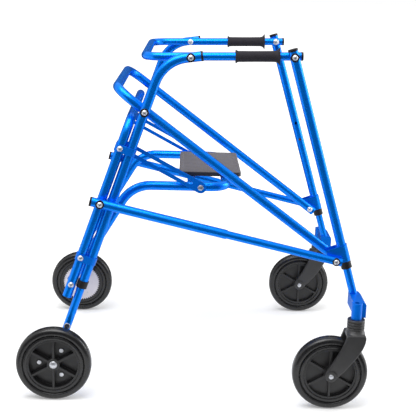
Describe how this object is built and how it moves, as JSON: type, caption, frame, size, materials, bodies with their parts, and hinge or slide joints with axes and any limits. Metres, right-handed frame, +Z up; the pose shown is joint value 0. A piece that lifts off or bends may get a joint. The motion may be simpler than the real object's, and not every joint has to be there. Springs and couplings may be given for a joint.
{
  "type": "posterior walker",
  "caption": "Folding tubular posterior walker with wrap-round handlebar, flip-up seat, telescoping legs, swivel front casters and ratchet rear wheels.",
  "frame": {"origin": "on the floor under the middle of the bounding box", "axes": "+Z up, +X forward in the direction of walking, +Y to the user's left"},
  "size_m": [0.829, 0.724, 0.8362],
  "materials": {
    "blue_paint": "candy blue powder coat over steel tube",
    "blue_clamp": "blue powder coat",
    "bright_steel": "bright zinc",
    "black_plastic": "moulded",
    "grip_foam": "soft grip",
    "tyre_rubber": "smooth tread",
    "hub_plastic": "moulded, fine grain",
    "fork_plastic": "moulded, fine grain",
    "white_plastic": "moulded",
    "brass": "plain",
    "seat_vinyl": "grained vinyl"
  },
  "bodies": {
    "rear_frame": {"rear_upright_left": "blue_paint", "rear_upright_right": "blue_paint", "rear_hoop": "blue_paint", "upright_clamps": "blue_clamp", "clamp_bolts": "bright_steel", "pivot_bolts": "bright_steel", "stay_bolts": "bright_steel", "seat_bolts": "bright_steel", "rear_bushes": "black_plastic", "upright_rings": "black_plastic"},
    "handlebar": {"handlebar": "blue_paint", "grip_left": "grip_foam", "grip_right": "grip_foam", "handlebar_plugs": "black_plastic"},
    "swing_frame": {"swing_frame": "blue_paint", "swing_bolts": "bright_steel"},
    "front_uprights": {"front_upright_left": "blue_paint", "front_upright_right": "blue_paint", "front_bushes": "black_plastic", "upright_caps": "black_plastic", "handle_pins": "bright_steel"},
    "stay_outers": {"stay_outer_left": "blue_paint", "stay_outer_right": "blue_paint", "stay_plugs": "black_plastic"},
    "stay_inners": {"stay_inner_left": "blue_paint", "stay_inner_right": "blue_paint", "stay_front_bolts": "bright_steel"},
    "seat": {"seat_frame": "blue_paint", "seat_pad": "seat_vinyl", "link_bolts": "bright_steel"},
    "front_leg_left": {"front_leg_left": "blue_paint", "stem_adapter_left": "blue_clamp"},
    "snap_button_left": {"snap_button_left": "brass"},
    "caster_fork_left": {"caster_fork_left": "fork_plastic", "caster_axle_left": "bright_steel"},
    "caster_wheel_left": {"caster_tyre_left": "tyre_rubber", "caster_hub_left": "hub_plastic"},
    "rear_leg_left": {"rear_leg_left": "blue_paint", "rear_leg_bolts_left": "bright_steel"},
    "rear_wheel_left": {"rear_tyre_left": "tyre_rubber", "rear_hub_left": "hub_plastic", "ratchet_disc_left": "white_plastic", "hub_screws_left": "bright_steel"},
    "pawl_left": {"pawl_left": "black_plastic"},
    "seat_link_left": {"seat_link_left": "blue_clamp"},
    "front_leg_right": {"front_leg_right": "blue_paint", "stem_adapter_right": "blue_clamp"},
    "snap_button_right": {"snap_button_right": "brass"},
    "caster_fork_right": {"caster_fork_right": "fork_plastic", "caster_axle_right": "bright_steel"},
    "caster_wheel_right": {"caster_tyre_right": "tyre_rubber", "caster_hub_right": "hub_plastic"},
    "rear_leg_right": {"rear_leg_right": "blue_paint", "rear_leg_bolts_right": "bright_steel"},
    "rear_wheel_right": {"rear_tyre_right": "tyre_rubber", "rear_hub_right": "hub_plastic", "ratchet_disc_right": "white_plastic", "hub_screws_right": "bright_steel"},
    "pawl_right": {"pawl_right": "black_plastic"},
    "seat_link_right": {"seat_link_right": "blue_clamp"}
  },
  "joints": [
    {"name": "fold", "type": "hinge", "parent": "rear_frame", "child": "swing_frame", "pos_m": [-0.12002, 0, 0.6824], "axis": [0, 1, 0], "range_deg": [0, 45]},
    {"name": "handle_turn", "type": "hinge", "parent": "rear_frame", "child": "handlebar", "pos_m": [-0.0179, 0, 0.8088], "axis": [0, 1, 0], "range_deg": [0, 68.3]},
    {"name": "upright_turn", "type": "hinge", "parent": "swing_frame", "child": "front_uprights", "pos_m": [0.3332, 0, 0.3455], "axis": [0, 1, 0], "range_deg": [-17.7, 0]},
    {"name": "stay_turn", "type": "hinge", "parent": "rear_frame", "child": "stay_outers", "pos_m": [-0.2188, 0, 0.472], "axis": [0, 1, 0], "range_deg": [0, 49.8]},
    {"name": "stay_slide", "type": "slide", "parent": "stay_outers", "child": "stay_inners", "axis": [-0.9747, 0, 0.2234], "range_m": [0, 0.175]},
    {"name": "seat_fold", "type": "hinge", "parent": "rear_frame", "child": "seat", "pos_m": [-0.2891, 0, 0.269], "axis": [0, -1, 0], "range_deg": [0, 25]},
    {"name": "front_leg_slide_left", "type": "slide", "parent": "front_uprights", "child": "front_leg_left", "axis": [-0.289, 0, 0.9573], "range_m": [-0.045, 0.06]},
    {"name": "snap_press_left", "type": "slide", "parent": "front_leg_left", "child": "snap_button_left", "axis": [0, 1, 0], "range_m": [0, 0.004], "stiffness_N_per_m": 400},
    {"name": "caster_swivel_left", "type": "hinge", "parent": "front_leg_left", "child": "caster_fork_left", "pos_m": [0.3805, 0.329, 0.24], "axis": [0, 0, 1], "continuous": true},
    {"name": "caster_roll_left", "type": "hinge", "parent": "caster_fork_left", "child": "caster_wheel_left", "pos_m": [0.3255, 0.329, 0.089], "axis": [0, 1, 0], "continuous": true},
    {"name": "rear_leg_slide_left", "type": "slide", "parent": "rear_frame", "child": "rear_leg_left", "axis": [0.3272, 0, 0.9449], "range_m": [-0.045, 0.06]},
    {"name": "rear_roll_left", "type": "hinge", "parent": "rear_leg_left", "child": "rear_wheel_left", "pos_m": [-0.3255, 0.305, 0.089], "axis": [0, 1, 0], "continuous": true},
    {"name": "pawl_lift_left", "type": "hinge", "parent": "rear_leg_left", "child": "pawl_left", "pos_m": [-0.29918, 0.305, 0.165], "axis": [0, -1, 0], "range_deg": [0, 20]},
    {"name": "link_turn_left", "type": "hinge", "parent": "seat", "child": "seat_link_left", "pos_m": [0.0125, 0.209, 0.4995], "axis": [0, -1, 0], "range_deg": [0, 9]},
    {"name": "front_leg_slide_right", "type": "slide", "parent": "front_uprights", "child": "front_leg_right", "axis": [-0.289, 0, 0.9573], "range_m": [-0.045, 0.06]},
    {"name": "snap_press_right", "type": "slide", "parent": "front_leg_right", "child": "snap_button_right", "axis": [0, -1, 0], "range_m": [0, 0.004], "stiffness_N_per_m": 400},
    {"name": "caster_swivel_right", "type": "hinge", "parent": "front_leg_right", "child": "caster_fork_right", "pos_m": [0.3805, -0.329, 0.24], "axis": [0, 0, 1], "continuous": true},
    {"name": "caster_roll_right", "type": "hinge", "parent": "caster_fork_right", "child": "caster_wheel_right", "pos_m": [0.3255, -0.329, 0.089], "axis": [0, 1, 0], "continuous": true},
    {"name": "rear_leg_slide_right", "type": "slide", "parent": "rear_frame", "child": "rear_leg_right", "axis": [0.3272, 0, 0.9449], "range_m": [-0.045, 0.06]},
    {"name": "rear_roll_right", "type": "hinge", "parent": "rear_leg_right", "child": "rear_wheel_right", "pos_m": [-0.3255, -0.305, 0.089], "axis": [0, 1, 0], "continuous": true},
    {"name": "pawl_lift_right", "type": "hinge", "parent": "rear_leg_right", "child": "pawl_right", "pos_m": [-0.29918, -0.305, 0.165], "axis": [0, -1, 0], "range_deg": [0, 20]},
    {"name": "link_turn_right", "type": "hinge", "parent": "seat", "child": "seat_link_right", "pos_m": [0.0125, -0.209, 0.4995], "axis": [0, -1, 0], "range_deg": [0, 9]}
  ],
  "couplings": [
    {"joint": "handle_turn", "follows": "fold", "ratio": 1.5144},
    {"joint": "upright_turn", "follows": "fold", "ratio": -0.3893},
    {"joint": "stay_turn", "follows": "fold", "ratio": 1.1029},
    {"joint": "stay_slide", "follows": "fold", "m_per_rad": 0.2213},
    {"joint": "link_turn_left", "follows": "seat_fold", "ratio": 0.3548},
    {"joint": "link_turn_right", "follows": "seat_fold", "ratio": 0.3548}
  ]
}
